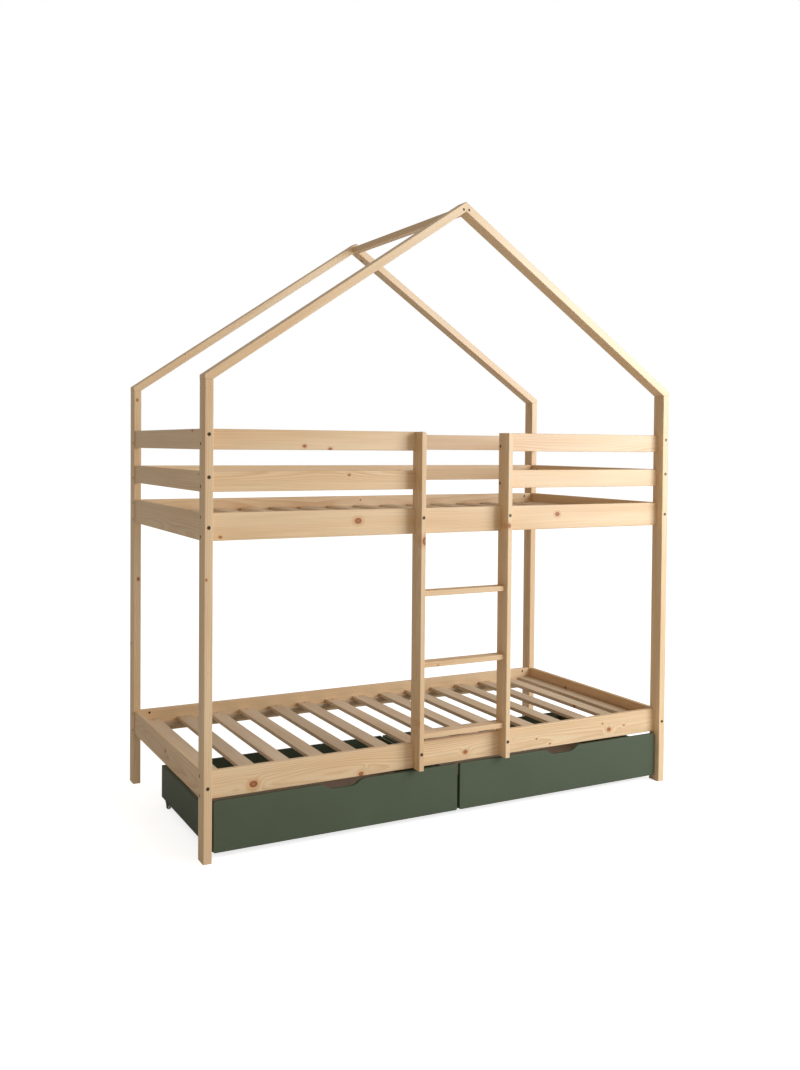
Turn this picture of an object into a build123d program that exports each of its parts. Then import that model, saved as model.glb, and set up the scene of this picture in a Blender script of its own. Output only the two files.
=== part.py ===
from build123d import *
from math import cos, radians, tan
import os

# House bunk bed: two slatted beds one above the other in a frame of four posts under
# an open gable roof, with a ladder in front and two drawers on castors under the lower bed.
# Millimetres. +X runs along the bed to the right, +Y to the back, +Z up.
# The origin is on the floor, under the middle of the whole bed, ladder included.

# Bed frame
bed_length = 2008.0
bed_depth = 1010.0
post_width = 30.0
post_depth = 60.0
post_above_guards = 165.0
edge_radius = 2.5
eaves_arris = 0.8

# Boards between the posts
board_thickness = 20.0
rail_height = 95.0
guard_height = 70.0
long_board_setback = 35.0
end_board_setback = 5.0
lower_rail_bottom = 207.0
berth_spacing = 875.0
low_guard_gap = 70.0
top_guard_gap = 73.0

# Roof
roof_pitch = 34.1
rafter_thickness = 30.0
ridge_width = 34.0
ridge_height = 25.0
ridge_drop = 17.5

# Slatted bases
slat_width = 60.0
slat_thickness = 15.0
slat_pitch = 136.0
first_slat_gap = 26.0
last_slat_gap = 8.0
slat_drop = 42.0
slat_end_clearance = 1.0
slat_edge = 1.5
ledger_width = 20.0
ledger_height = 18.0
ledger_end_clearance = 3.0

# Ladder
ladder_shift = 11.0
ladder_clear_width = 360.0
stile_thickness = 20.0
stile_depth = 70.0
stile_proud = 15.0
stile_top_radius = 12.0
rung_thickness = 20.0
rung_depth = 50.0
rung_setback = 15.0
first_rung_rise = 113.5
rung_pitch = 265.5
rung_count = 3
housing_depth = 6.0
housing_clearance = 0.2

# Bolts, nuts and screws
bolt_diameter = 6.0
bolt_hole_diameter = 7.0
bolt_head_diameter = 12.0
bolt_head_thickness = 4.0
counterbore_diameter = 13.0
counterbore_depth = 6.0
bolt_stagger = 16.0
rail_bolt_spacing = 67.0
ladder_bolt_rise = 14.0
nut_inset = 38.0
nut_diameter = 10.0
nut_length = 14.0
nut_clearance = 0.1
nut_floor_clearance = 0.3
thread_clearance = 0.1
bolt_tail = 8.0
bore_run_out = 4.0
sleeve_diameter = 8.4
sleeve_length = 15.0
sleeve_flange_diameter = 13.0
sleeve_flange_thickness = 1.5
screw_diameter = 6.0
screw_head_diameter = 9.5
screw_head_thickness = 4.0
screw_bore_clearance = 0.25
screw_recess = 3.0
screw_grip_in_ridge = 46.0
screw_grip_in_post = 55.0
ridge_screw_spacing = 23.0
eave_screw_spacing = 32.0

# Drawers
drawer_left_clearance = 12.0
drawer_right_clearance = 7.0
drawer_gap = 11.0
drawer_top_clearance = 6.0
drawer_depth = 648.0
drawer_front_setback = 20.0
drawer_front_thickness = 16.0
drawer_front_corner = 6.0
drawer_front_edge = 1.5
drawer_side_height = 125.0
drawer_side_thickness = 12.0
drawer_side_edge = 1.0
drawer_floor_clearance = 25.0
drawer_bottom_thickness = 4.0
groove_height = 8.0
groove_depth = 6.0
groove_clearance = 0.3
bottom_edge_clearance = 0.8
cutout_width = 184.0
cutout_depth = 21.0
cutout_shoulder = 60.0

# Castors
castor_inset = 78.0
wheel_diameter = 22.0
wheel_width = 11.0
wheel_edge = 1.2
wheel_hub_diameter = 8.0
wheel_hub_stand = 0.3
axle_diameter = 3.0
axle_clearance = 0.05
axle_head_diameter = 5.0
axle_head_thickness = 1.0
castor_gauge = 1.5
castor_side_clearance = 0.3
castor_plate_length = 46.0
cheek_top_length = 26.0
cheek_nose_radius = 8.0

# Places worked out from the sizes above
frame_middle_y = stile_proud / 2
left_x = -bed_length / 2
right_x = bed_length / 2
front_y = frame_middle_y - bed_depth / 2
rail_inner_y = bed_depth / 2 - long_board_setback - board_thickness
upper_rail_bottom = lower_rail_bottom + berth_spacing
low_guard_bottom = upper_rail_bottom + rail_height + low_guard_gap
top_guard_bottom = low_guard_bottom + guard_height + top_guard_gap
post_height = top_guard_bottom + guard_height + post_above_guards
rail_bottoms = {"lower": lower_rail_bottom, "upper": upper_rail_bottom}
guard_bottoms = {"low": low_guard_bottom, "top": top_guard_bottom}
vertical_rafter_thickness = rafter_thickness / cos(radians(roof_pitch))
inner_apex_z = post_height + (bed_length / 2 - post_width) * tan(radians(roof_pitch))
apex_z = inner_apex_z + vertical_rafter_thickness
ridge_top_z = apex_z - ridge_drop
ladder_half_width = ladder_clear_width / 2 + stile_thickness
drawer_end_clearances = drawer_left_clearance + drawer_right_clearance
drawer_width = (bed_length - 2 * post_width - drawer_end_clearances - drawer_gap) / 2
drawer_shift = (drawer_left_clearance - drawer_right_clearance) / 2
drawer_front_height = lower_rail_bottom - drawer_top_clearance - drawer_floor_clearance
castor_height = drawer_floor_clearance
wheel_radius = wheel_diameter / 2
wheel_hub_width = wheel_width + 2 * wheel_hub_stand
castor_inner_width = wheel_hub_width + 2 * castor_side_clearance
sides = {"left": -1, "right": 1}
faces = {"front": -1, "rear": 1}
X_AXIS = Vector(1, 0, 0)
Y_AXIS = Vector(0, 1, 0)
Z_AXIS = Vector(0, 0, 1)


def rod(start, direction, length, diameter):
    """A round bar from a point along a direction."""
    return extrude(Plane(origin=start, z_dir=direction) * Circle(diameter / 2), amount=length)


def block(low, high):
    """A square-edged block between two opposite corners."""
    size = [b - a for a, b in zip(low, high)]
    middle = [(a + b) / 2 for a, b in zip(low, high)]
    return Pos(*middle) * Box(*size)


def planed_board(low, high, along, radius=edge_radius):
    """A board between two corners, with its four long edges rounded."""
    board = block(low, high)
    return fillet(board.edges().filter_by(along), radius)


def save(name, *solids):
    """Write one sub-part, a single solid or a group of separate ones, to its own file."""
    shape = solids[0] if len(solids) == 1 else Compound(children=list(solids))
    shape.label = name
    export_step(shape, os.path.join("parts", name + ".step"))


def headed_bolt(seat, toward, shank):
    """A furniture bolt whose round head bears on its seat."""
    head = rod(seat, toward * -1, bolt_head_thickness, bolt_head_diameter)
    return head + rod(seat, toward, shank, bolt_diameter)


class Fixing:
    """A bolt through a carrier into a board's end, drawn up by a barrel nut across the board."""

    def __init__(self, carrier, board, head, toward, grip, inward):
        self.carrier = carrier
        self.board = board
        self.head = Vector(*head)
        self.toward = toward
        self.grip = grip
        self.inward = inward
        self.nut_middle = self.head + toward * (grip + nut_inset)

    def carrier_bore(self):
        counterbore = rod(self.head, self.toward, counterbore_depth, counterbore_diameter)
        return counterbore + rod(self.head, self.toward, self.grip, bolt_hole_diameter)

    def board_bore(self):
        start = self.head + self.toward * self.grip
        depth = nut_inset + bolt_tail + bore_run_out
        nut_floor = nut_length / 2 + nut_floor_clearance
        nut_start = self.nut_middle - self.inward * nut_floor
        nut_bore_diameter = nut_diameter + 2 * nut_clearance
        nut_bore = rod(nut_start, self.inward, nut_floor + board_thickness / 2, nut_bore_diameter)
        return rod(start, self.toward, depth, bolt_hole_diameter) + nut_bore

    def bolt(self):
        seat = self.head + self.toward * counterbore_depth
        shank = self.grip - counterbore_depth + nut_inset + bolt_tail
        return headed_bolt(seat, self.toward, shank)

    def nut(self):
        barrel_end = self.nut_middle - self.inward * (nut_length / 2)
        barrel = rod(barrel_end, self.inward, nut_length, nut_diameter)
        thread_start = self.nut_middle - self.toward * nut_diameter
        thread = rod(thread_start, self.toward, 2 * nut_diameter, bolt_diameter + 2 * thread_clearance)
        return barrel - thread


class LadderBolt:
    """A bolt through a ladder stile and the rail behind it, with a flanged sleeve nut inside the rail."""

    def __init__(self, side, level):
        x = ladder_shift + sides[side] * (ladder_half_width - stile_thickness / 2)
        z = rail_bottoms[level] + rail_height / 2 + ladder_bolt_rise
        self.carrier = "ladder_stile_" + side
        self.board = "side_rail_" + level + "_front"
        self.head = Vector(x, front_y - stile_proud, z)
        self.rail_front = front_y + long_board_setback
        self.rail_back = self.rail_front + board_thickness

    def carrier_bore(self):
        grip = self.rail_front - self.head.Y
        counterbore = rod(self.head, Y_AXIS, counterbore_depth, counterbore_diameter)
        return counterbore + rod(self.head, Y_AXIS, grip, bolt_hole_diameter)

    def board_bore(self):
        start = Vector(self.head.X, self.rail_front, self.head.Z)
        return rod(start, Y_AXIS, board_thickness, sleeve_diameter + 2 * nut_clearance)

    def bolt(self):
        seat = self.head + Y_AXIS * counterbore_depth
        shank = self.rail_back - seat.Y
        return headed_bolt(seat, Y_AXIS, shank)

    def nut(self):
        inner = Vector(self.head.X, self.rail_back, self.head.Z)
        sleeve = rod(inner - Y_AXIS * sleeve_length, Y_AXIS, sleeve_length, sleeve_diameter)
        flange = rod(inner, Y_AXIS, sleeve_flange_thickness, sleeve_flange_diameter)
        thread_diameter = bolt_diameter + 2 * thread_clearance
        thread = rod(inner - Y_AXIS * sleeve_length, Y_AXIS, sleeve_length, thread_diameter)
        return sleeve + flange - thread


def long_board_y(face):
    """The middle of a long board's thickness, on the front or rear side."""
    return frame_middle_y + faces[face] * (bed_depth / 2 - long_board_setback - board_thickness / 2)


def end_board_x(side):
    """The middle of an end board's thickness, at the left or right end."""
    return sides[side] * (bed_length / 2 - end_board_setback - board_thickness / 2)


def post_fixing(board, side, face, z, direction):
    """A bolt through a post: along X into a long board, or along Y into an end board."""
    carrier = "post_" + face + "_" + side
    if direction == "X":
        head = (sides[side] * bed_length / 2, long_board_y(face), z)
        return Fixing(carrier, board, head, X_AXIS * -sides[side], post_width, Y_AXIS * -faces[face])
    head = (end_board_x(side), frame_middle_y + faces[face] * bed_depth / 2, z)
    return Fixing(carrier, board, head, Y_AXIS * -faces[face], post_depth, X_AXIS * -sides[side])


def stile_fixing(board, side, z):
    """A bolt from the ladder opening through a stile into the end of a front guard."""
    x = ladder_shift + sides[side] * ladder_clear_width / 2
    head = (x, long_board_y("front"), z)
    return Fixing("ladder_stile_" + side, board, head, X_AXIS * sides[side], stile_thickness, Y_AXIS)


def all_fixings():
    """Every bolted joint of the frame, with the pieces that it joins."""
    fixings = []
    for side in sides:
        for face in faces:
            for level, bottom in rail_bottoms.items():
                middle = bottom + rail_height / 2
                rail = "side_rail_" + level + "_" + face
                for offset in (-rail_bolt_spacing / 2, rail_bolt_spacing / 2):
                    fixings.append(post_fixing(rail, side, face, middle + offset, "X"))
                fixings.append(post_fixing("end_rail_" + level + "_" + side, side, face, middle, "Y"))
            for level, bottom in guard_bottoms.items():
                middle = bottom + guard_height / 2
                guard = "guard_rear_" + level if face == "rear" else "guard_front_" + side + "_" + level
                fixings.append(post_fixing(guard, side, face, middle - bolt_stagger, "X"))
                end_guard = "end_guard_" + level + "_" + side
                fixings.append(post_fixing(end_guard, side, face, middle + bolt_stagger, "Y"))
        for level, bottom in guard_bottoms.items():
            middle = bottom + guard_height / 2
            fixings.append(stile_fixing("guard_front_" + side + "_" + level, side, middle - bolt_stagger))
        for level in rail_bottoms:
            fixings.append(LadderBolt(side, level))
    return fixings


def bored(piece, name, fixings):
    """A piece with every bolt bore that passes through it or ends in it."""
    for fixing in fixings:
        if fixing.carrier == name:
            piece -= fixing.carrier_bore()
        if fixing.board == name:
            piece -= fixing.board_bore()
    return piece


class RoofScrew:
    """A screw with a sunk cylindrical head, through a rafter into a post or the ridge beam."""

    def __init__(self, seat, toward, through, grip):
        self.seat = seat
        self.toward = toward
        self.through = through
        self.grip = grip

    def clearance_bore(self):
        bore = screw_diameter + 2 * screw_bore_clearance
        head_bore = screw_head_diameter + 2 * screw_bore_clearance
        outward = self.toward * -1
        sunk_head = rod(self.seat, outward, screw_head_thickness + rafter_thickness, head_bore)
        return sunk_head + rod(self.seat, self.toward, self.through, bore)

    def pilot_bore(self):
        start = self.seat + self.toward * self.through
        bore = screw_diameter + 2 * screw_bore_clearance
        return rod(start, self.toward, self.grip + screw_bore_clearance, bore)

    def screw(self):
        outward = self.toward * -1
        head = rod(self.seat, outward, screw_head_thickness, screw_head_diameter)
        return head + rod(self.seat, self.toward, self.through + self.grip, screw_diameter)


def ridge_screw(side, face):
    """Along Y through the end of a rafter into the end grain of the ridge beam."""
    depth = screw_recess + screw_head_thickness
    y = frame_middle_y + faces[face] * (bed_depth / 2 - depth)
    seat = Vector(sides[side] * ridge_screw_spacing / 2, y, ridge_top_z - ridge_height / 2)
    return RoofScrew(seat, Y_AXIS * -faces[face], post_depth - depth, screw_grip_in_ridge)


def eave_screws(side, face):
    """Two upright screws through the foot of a rafter into the top of its post."""
    x = sides[side] * (bed_length / 2 - post_width / 2)
    rafter_top = apex_z - (bed_length / 2 - post_width / 2) * tan(radians(roof_pitch))
    seat_z = rafter_top - screw_recess - screw_head_thickness
    middle_y = frame_middle_y + faces[face] * (bed_depth / 2 - post_depth / 2)
    screws = []
    for offset in (-eave_screw_spacing / 2, eave_screw_spacing / 2):
        seat = Vector(x, middle_y + offset, seat_z)
        screws.append(RoofScrew(seat, Z_AXIS * -1, seat_z - post_height, screw_grip_in_post))
    return screws


def post(side, face, fixings):
    """An upright post, its top end eased, bored for its bolts and for the screws of its rafter."""
    name = "post_" + face + "_" + side
    x = sides[side] * (bed_length / 2 - post_width / 2)
    y = frame_middle_y + faces[face] * (bed_depth / 2 - post_depth / 2)
    low = (x - post_width / 2, y - post_depth / 2, 0)
    high = (x + post_width / 2, y + post_depth / 2, post_height)
    upright = planed_board(low, high, Axis.Z)
    upright = chamfer(upright.faces().sort_by(Axis.Z)[-1].edges(), eaves_arris)
    upright = bored(upright, name, fixings)
    for screw in eave_screws(side, face):
        upright -= screw.pilot_bore()
    return upright


def rafter(side, face):
    """A sloping roof beam, cut level on its post and upright against its partner at the apex."""
    reach = sides[side]
    foot = post_height + vertical_rafter_thickness - post_width * tan(radians(roof_pitch))
    outline = [
        (reach * bed_length / 2, post_height),
        (reach * (bed_length / 2 - post_width), post_height),
        (0, inner_apex_z),
        (0, apex_z),
        (reach * bed_length / 2, foot),
    ]
    start_y = frame_middle_y + faces[face] * (bed_depth / 2 - post_depth / 2) + post_depth / 2
    gable_plane = Plane(origin=(0, start_y, 0), x_dir=(1, 0, 0), z_dir=(0, -1, 0))
    beam = extrude(gable_plane * make_face(Polyline(*outline, close=True)), amount=post_depth)
    beam = fillet(beam.edges().sort_by(SortBy.LENGTH)[-4:], edge_radius)
    for screw in eave_screws(side, face) + [ridge_screw(side, face)]:
        beam -= screw.clearance_bore()
    return beam


def ridge_beam():
    """The beam that ties the two gables together between their apexes."""
    half_length = bed_depth / 2 - post_depth
    low = (-ridge_width / 2, frame_middle_y - half_length, ridge_top_z - ridge_height)
    high = (ridge_width / 2, frame_middle_y + half_length, ridge_top_z)
    beam = planed_board(low, high, Axis.Y)
    for side in sides:
        for face in faces:
            beam -= ridge_screw(side, face).pilot_bore()
    return beam


def long_board(name, face, start_x, end_x, bottom, height, fixings):
    """A board along the front or rear of the bed, bored at its ends."""
    y = long_board_y(face)
    low = (start_x, y - board_thickness / 2, bottom)
    high = (end_x, y + board_thickness / 2, bottom + height)
    return bored(planed_board(low, high, Axis.X), name, fixings)


def end_board(name, side, bottom, height, fixings):
    """A board across the head or foot of the bed, between a front and a rear post."""
    x = end_board_x(side)
    half_length = bed_depth / 2 - post_depth
    low = (x - board_thickness / 2, frame_middle_y - half_length, bottom)
    high = (x + board_thickness / 2, frame_middle_y + half_length, bottom + height)
    return bored(planed_board(low, high, Axis.Y), name, fixings)


def slat_top(level):
    """The height of a slatted base's upper surface."""
    return rail_bottoms[level] + rail_height - slat_drop


def ledgers(level):
    """The two battens inside the long rails that carry the slats."""
    half_length = bed_length / 2 - post_width - ledger_end_clearance
    top = slat_top(level) - slat_thickness
    battens = []
    for face in faces.values():
        near = frame_middle_y + face * rail_inner_y
        far = near - face * ledger_width
        low = (-half_length, min(near, far), top - ledger_height)
        high = (half_length, max(near, far), top)
        battens.append(block(low, high))
    return battens


def slat_places():
    """The left edge of every slat: evenly spaced from the head, and one more against the foot."""
    end_face = bed_length / 2 - end_board_setback - board_thickness
    first = -end_face + first_slat_gap
    last = end_face - last_slat_gap - slat_width
    evenly_spaced = int((last - first - slat_width) // slat_pitch) + 1
    return [first + i * slat_pitch for i in range(evenly_spaced)] + [last]


def slats(level):
    """The loose boards across the ledgers that carry the mattress."""
    half_length = rail_inner_y - slat_end_clearance
    top = slat_top(level)
    boards = []
    for x in slat_places():
        low = (x, frame_middle_y - half_length, top - slat_thickness)
        high = (x + slat_width, frame_middle_y + half_length, top)
        slat = block(low, high)
        boards.append(chamfer(slat.edges().filter_by(Axis.Y), slat_edge))
    return boards


def rung_levels():
    """The underside of every rung."""
    first = lower_rail_bottom + first_rung_rise
    return [first + i * rung_pitch for i in range(rung_count)]


def rung_y():
    """The front and back faces of the rungs."""
    front = front_y - stile_proud + rung_setback
    return front, front + rung_depth


def stile_corner_waste(low, high):
    """What is cut away outside the rounded top corner of a ladder side."""
    middle_y = (low[1] + high[1]) / 2
    depth = high[1] - low[1] + 2
    corner = Pos(high[0] - stile_top_radius, middle_y, high[2] - stile_top_radius)
    block = Box(stile_top_radius + 1, depth, stile_top_radius + 1, align=(Align.MIN, Align.CENTER, Align.MIN))
    rod = Rot(90, 0, 0) * Cylinder(stile_top_radius, depth + 2)
    return corner * (block - rod)


def ladder_stile(side, fixings):
    """A ladder side, one top corner rounded, notched over both front rails and housed for the rungs."""
    inner = ladder_shift + sides[side] * ladder_clear_width / 2
    outer = ladder_shift + sides[side] * ladder_half_width
    front = front_y - stile_proud
    back = front + stile_depth
    low = (min(inner, outer), front, lower_rail_bottom)
    high = (max(inner, outer), back, top_guard_bottom + guard_height)
    stile = planed_board(low, high, Axis.Z) - stile_corner_waste(low, high)
    notch_front = front_y + long_board_setback
    for bottom in rail_bottoms.values():
        notch_low = (low[0] - 1, notch_front, bottom)
        notch_high = (high[0] + 1, back + 1, bottom + rail_height)
        stile -= block(notch_low, notch_high)
    rung_front, rung_back = rung_y()
    housing_floor = inner + sides[side] * housing_depth
    for bottom in rung_levels():
        housing_low = (min(inner, housing_floor), rung_front, bottom)
        housing_high = (max(inner, housing_floor), rung_back, bottom + rung_thickness)
        stile -= block(housing_low, housing_high)
    return bored(stile, "ladder_stile_" + side, fixings)


def ladder_rungs():
    """The treads, with their ends let into the stiles and their edges rounded in between."""
    front, back = rung_y()
    half_length = ladder_clear_width / 2 + housing_depth - housing_clearance
    rungs = []
    for bottom in rung_levels():
        low = (ladder_shift - half_length, front + housing_clearance, bottom)
        high = (ladder_shift + half_length, back - housing_clearance, bottom + rung_thickness)
        rungs.append(planed_board(low, high, Axis.X))
    return rungs


def drawer_middle_x(side):
    """The middle of a drawer along the bed."""
    return drawer_shift + sides[side] * (drawer_width + drawer_gap) / 2


def drawer_front_y():
    return front_y + drawer_front_setback


def handle_cutout():
    """The hand hold in the top edge of a drawer front: a flat floor between two S-shaped ends."""
    half = cutout_width / 2
    floor = half - cutout_shoulder
    middle = half - cutout_shoulder / 2
    depth = cutout_depth
    outline = [
        Line((-half, depth), (half, depth)),
        Line((half, depth), (half, 0)),
        TangentArc((half, 0), (middle, -depth / 2), tangent=(-1, 0)),
        TangentArc((floor, -depth), (middle, -depth / 2), tangent=(1, 0)),
        Line((floor, -depth), (-floor, -depth)),
        TangentArc((-floor, -depth), (-middle, -depth / 2), tangent=(-1, 0)),
        TangentArc((-half, 0), (-middle, -depth / 2), tangent=(1, 0)),
        Line((-half, 0), (-half, depth)),
    ]
    return make_face(Wire(outline))


def bottom_panel_limits(side):
    """The plain rectangle between the drawer's panels, before it enters their grooves."""
    half = drawer_width / 2 - drawer_side_thickness
    near = drawer_front_y() + drawer_front_thickness
    far = drawer_front_y() + drawer_depth - drawer_side_thickness
    return drawer_middle_x(side) - half, drawer_middle_x(side) + half, near, far


def bottom_panel(side, spread, thickness):
    """The drawer's bottom, spread into its grooves by the given amount."""
    left, right, near, far = bottom_panel_limits(side)
    z = drawer_floor_clearance + groove_height
    return block((left - spread, near - spread, z), (right + spread, far + spread, z + thickness))


def groove(side):
    """The space that the bottom panel's grooves take out of the other panels."""
    return bottom_panel(side, groove_depth, drawer_bottom_thickness + groove_clearance)


def drawer_front(side):
    """The painted front, with rounded corners, eased edges and its hand hold."""
    outline = RectangleRounded(drawer_width, drawer_front_height, drawer_front_corner)
    outline -= Pos(0, drawer_front_height / 2) * handle_cutout()
    middle_z = drawer_floor_clearance + drawer_front_height / 2
    middle = (drawer_middle_x(side), drawer_front_y(), middle_z)
    front_plane = Plane(origin=middle, x_dir=(1, 0, 0), z_dir=(0, -1, 0))
    panel = extrude(front_plane * outline, amount=-drawer_front_thickness)
    rims = panel.faces().sort_by(Axis.Y)
    panel = fillet(rims[0].edges() + rims[-1].edges(), drawer_front_edge)
    return panel - groove(side)


def drawer_side(side, hand):
    """A drawer side from the front panel to the back, grooved for the bottom."""
    outer = drawer_middle_x(side) + sides[hand] * drawer_width / 2
    inner = outer - sides[hand] * drawer_side_thickness
    near = drawer_front_y() + drawer_front_thickness
    far = drawer_front_y() + drawer_depth
    low = (min(inner, outer), near, drawer_floor_clearance)
    high = (max(inner, outer), far, drawer_floor_clearance + drawer_side_height)
    return planed_board(low, high, Axis.Y, drawer_side_edge) - groove(side)


def drawer_back(side):
    """The back panel between the two sides."""
    left, right, near, far = bottom_panel_limits(side)
    low = (left, far, drawer_floor_clearance)
    high = (right, far + drawer_side_thickness, drawer_floor_clearance + drawer_side_height)
    return planed_board(low, high, Axis.X, drawer_side_edge) - groove(side)


def drawer_bottom(side):
    """The thin bottom, lying in the grooves of the four panels."""
    return bottom_panel(side, groove_depth - bottom_edge_clearance, drawer_bottom_thickness)


def castor_places(side):
    """The four wheel centres under a drawer's sides, by name."""
    places = {}
    ends = {
        "front": drawer_front_y() + drawer_front_thickness + castor_inset,
        "rear": drawer_front_y() + drawer_depth - castor_inset,
    }
    for end, y in ends.items():
        for hand in sides:
            under_side = (drawer_width - drawer_side_thickness) / 2
            x = drawer_middle_x(side) + sides[hand] * under_side
            places[end + "_" + hand] = Vector(x, y, wheel_radius)
    return places


def castor_housing(place):
    """A bent steel channel: a plate under the drawer side with two ears down to the axle."""
    half_width = castor_inner_width / 2 + castor_gauge
    half_plate = castor_plate_length / 2
    plate_bottom = castor_height - castor_gauge
    low = (place.X - half_width, place.Y - half_plate, plate_bottom)
    high = (place.X + half_width, place.Y + half_plate, castor_height)
    housing = block(low, high)
    nose = Pos(0, wheel_radius) * Circle(cheek_nose_radius)
    half_top = cheek_top_length / 2
    corners = [
        (-half_top, plate_bottom),
        (half_top, plate_bottom),
        (cheek_nose_radius, wheel_radius),
        (-cheek_nose_radius, wheel_radius),
    ]
    web = make_face(Polyline(*corners, close=True))
    ear = extrude(Plane.YZ * (web + nose), amount=castor_gauge)
    for offset in (castor_inner_width / 2, -half_width):
        housing += Pos(place.X + offset, place.Y, 0) * ear
    bore_diameter = axle_diameter + 2 * axle_clearance
    bore = rod(place - X_AXIS * half_width, X_AXIS, 2 * half_width, bore_diameter)
    return housing - bore


def castor_axle(place):
    """A rivet across the two ears, headed at both ends."""
    half_width = castor_inner_width / 2 + castor_gauge
    pin = rod(place - X_AXIS * half_width, X_AXIS, 2 * half_width, axle_diameter)
    right_head = rod(place + X_AXIS * half_width, X_AXIS, axle_head_thickness, axle_head_diameter)
    left_head = rod(place - X_AXIS * half_width, X_AXIS * -1, axle_head_thickness, axle_head_diameter)
    return pin + right_head + left_head


def castor_wheel(place):
    """A moulded wheel with a hub that stands a little proud of its tread on both sides."""
    tread = Cylinder(wheel_radius, wheel_width)
    tread = chamfer(tread.edges(), wheel_edge)
    hub = Cylinder(wheel_hub_diameter / 2, wheel_hub_width)
    bore = Cylinder(axle_diameter / 2 + axle_clearance, 2 * wheel_hub_width)
    return Pos(place) * Rot(0, 90, 0) * (tread + hub - bore)


def save_frame(fixings):
    """The posts, the roof and every board of the two beds."""
    for face in faces:
        for side in sides:
            save("post_" + face + "_" + side, post(side, face, fixings))
            save("rafter_" + face + "_" + side, rafter(side, face))
    save("ridge_beam", ridge_beam())
    left = left_x + post_width
    right = right_x - post_width
    for level, bottom in rail_bottoms.items():
        for face in faces:
            name = "side_rail_" + level + "_" + face
            save(name, long_board(name, face, left, right, bottom, rail_height, fixings))
        for side in sides:
            name = "end_rail_" + level + "_" + side
            save(name, end_board(name, side, bottom, rail_height, fixings))
        save("ledgers_" + level, *ledgers(level))
        save("slats_" + level, *slats(level))
    for level, bottom in guard_bottoms.items():
        name = "guard_rear_" + level
        save(name, long_board(name, "rear", left, right, bottom, guard_height, fixings))
        spans = {
            "left": (left, ladder_shift - ladder_half_width),
            "right": (ladder_shift + ladder_half_width, right),
        }
        for side, span in spans.items():
            name = "guard_front_" + side + "_" + level
            save(name, long_board(name, "front", span[0], span[1], bottom, guard_height, fixings))
            name = "end_guard_" + level + "_" + side
            save(name, end_board(name, side, bottom, guard_height, fixings))


def save_ladder(fixings):
    for side in sides:
        save("ladder_stile_" + side, ladder_stile(side, fixings))
    save("ladder_rungs", *ladder_rungs())


def save_fasteners(fixings):
    """The bolts, their nuts and the screws of the roof, each kind as one group."""
    save("connector_bolts", *[fixing.bolt() for fixing in fixings])
    save("connector_nuts", *[fixing.nut() for fixing in fixings])
    screws = []
    for face in faces:
        for side in sides:
            screws.append(ridge_screw(side, face).screw())
            screws += [screw.screw() for screw in eave_screws(side, face)]
    save("roof_screws", *screws)


def save_drawer(side):
    name = "drawer_" + side
    save(name + "_front", drawer_front(side))
    save(name + "_back", drawer_back(side))
    save(name + "_bottom", drawer_bottom(side))
    for hand in sides:
        save(name + "_side_" + hand, drawer_side(side, hand))
    places = castor_places(side)
    save(name + "_castor_housings", *[castor_housing(place) for place in places.values()])
    save(name + "_castor_axles", *[castor_axle(place) for place in places.values()])
    for corner, place in places.items():
        save(name + "_wheel_" + corner, castor_wheel(place))


def main():
    os.makedirs("parts", exist_ok=True)
    fixings = all_fixings()
    save_frame(fixings)
    save_ladder(fixings)
    save_fasteners(fixings)
    for side in sides:
        save_drawer(side)


main()
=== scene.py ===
from math import cos, pi, radians, sin
from random import Random

import bmesh
import bpy
from mathutils import Matrix, Vector


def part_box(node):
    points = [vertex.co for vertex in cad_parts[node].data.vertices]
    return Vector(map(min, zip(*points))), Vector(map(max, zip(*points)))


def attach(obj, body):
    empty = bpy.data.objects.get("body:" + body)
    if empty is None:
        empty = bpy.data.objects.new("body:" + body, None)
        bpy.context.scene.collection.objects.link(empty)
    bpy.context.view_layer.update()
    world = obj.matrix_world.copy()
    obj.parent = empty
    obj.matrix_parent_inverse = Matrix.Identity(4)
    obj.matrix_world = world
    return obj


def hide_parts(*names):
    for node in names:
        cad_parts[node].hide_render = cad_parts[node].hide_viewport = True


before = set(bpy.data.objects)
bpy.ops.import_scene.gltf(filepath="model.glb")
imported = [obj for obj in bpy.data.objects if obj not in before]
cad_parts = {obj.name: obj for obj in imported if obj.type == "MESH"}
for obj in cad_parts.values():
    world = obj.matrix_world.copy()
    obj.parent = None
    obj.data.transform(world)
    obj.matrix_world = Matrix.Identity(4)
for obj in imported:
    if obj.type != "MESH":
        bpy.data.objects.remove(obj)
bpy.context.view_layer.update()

# House bunk bed in planed pine with two painted drawers. Lengths are in metres, but for those of
# the pine's figure, which are in millimetres. Colours are sRGB hex values of the finishes.

MM = 0.001
ROOF_PITCH = radians(34.1)
MERGE_DISTANCE = 0.001 * MM

# The slats stand at one pitch from the leftmost one's middle; only the rightmost is nearer
FIRST_SLAT = -953 * MM
SLAT_PITCH = 136 * MM

# The pine's figure, in millimetres. Real rings are 2 to 3 mm apart and real fibres finer than
# a millimetre; both are drawn coarser, so that they show in the render.
RING_SPACING = 4.5
RING_UNEVENNESS = 9.0
RING_UNEVENNESS_LENGTH = 19.0
FIBRE_WIDTH = 7.0
FIBRE_LENGTH = 320.0
RIPPLE_DEPTH = 4.0
RIPPLE_LENGTH = 160.0
RIPPLE_WIDTH = 26.0
PATCH_LENGTH = 700.0
PATCH_WIDTH = 55.0
PITH_WANDER = 34.0
PITH_WANDER_LENGTH = 650.0
PITH_NEAR = 45.0
PITH_FAR = 95.0
LOG_HALF_LENGTH = 9000.0
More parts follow.
